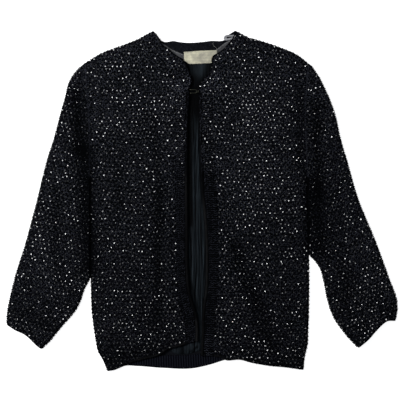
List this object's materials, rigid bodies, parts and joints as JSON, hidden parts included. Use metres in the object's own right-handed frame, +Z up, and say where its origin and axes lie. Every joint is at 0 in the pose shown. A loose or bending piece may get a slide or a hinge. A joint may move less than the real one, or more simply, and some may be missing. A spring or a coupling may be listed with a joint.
{
  "type": "beaded knit cardigan laid flat",
  "caption": "Black knit cardigan set all over with small sequins, round neck with a stand-up band, three-quarter sleeves, hooked at the neck and open below, laid flat on its back.",
  "frame": {"origin": "middle of the cardigan's box, on the surface that it lies on", "axes": "+X to the right and +Y towards the neck as seen from above, +Z up from the surface"},
  "size_m": [0.662, 0.578, 0.0094],
  "materials": {
    "beaded_knit": "black wool knit set with small faceted black sequins that glint",
    "plain_knit": "matt black wool knit",
    "band_knit": "close matt black knit",
    "rolled_edge": "smooth rolled black knit",
    "satin_lining": "dark slate satin with soft creases",
    "ribbed_knit": "ribbed wrong side of the knit",
    "grey_tape": "grey woven tape with a slight sheen",
    "cream_label": "cream woven satin, blank",
    "pale_satin": "pale satin ribbon",
    "dull_wire": "dull olive-grey wire"
  },
  "bodies": {
    "root": {"back": "plain_knit", "front_left": "beaded_knit", "front_right": "beaded_knit", "sleeve_left": "beaded_knit", "sleeve_right": "beaded_knit", "neckband_left": "beaded_knit", "neckband_right": "beaded_knit", "neckband_back": "plain_knit", "edge_band_left": "band_knit", "edge_band_right": "band_knit", "binding_left": "rolled_edge", "binding_right": "rolled_edge", "back_lining": "satin_lining", "hem_facing": "ribbed_knit", "neck_tape": "grey_tape", "label": "cream_label", "hanging_loop": "pale_satin", "neck_hook": "dull_wire", "neck_eye": "dull_wire"}
  },
  "joints": []
}
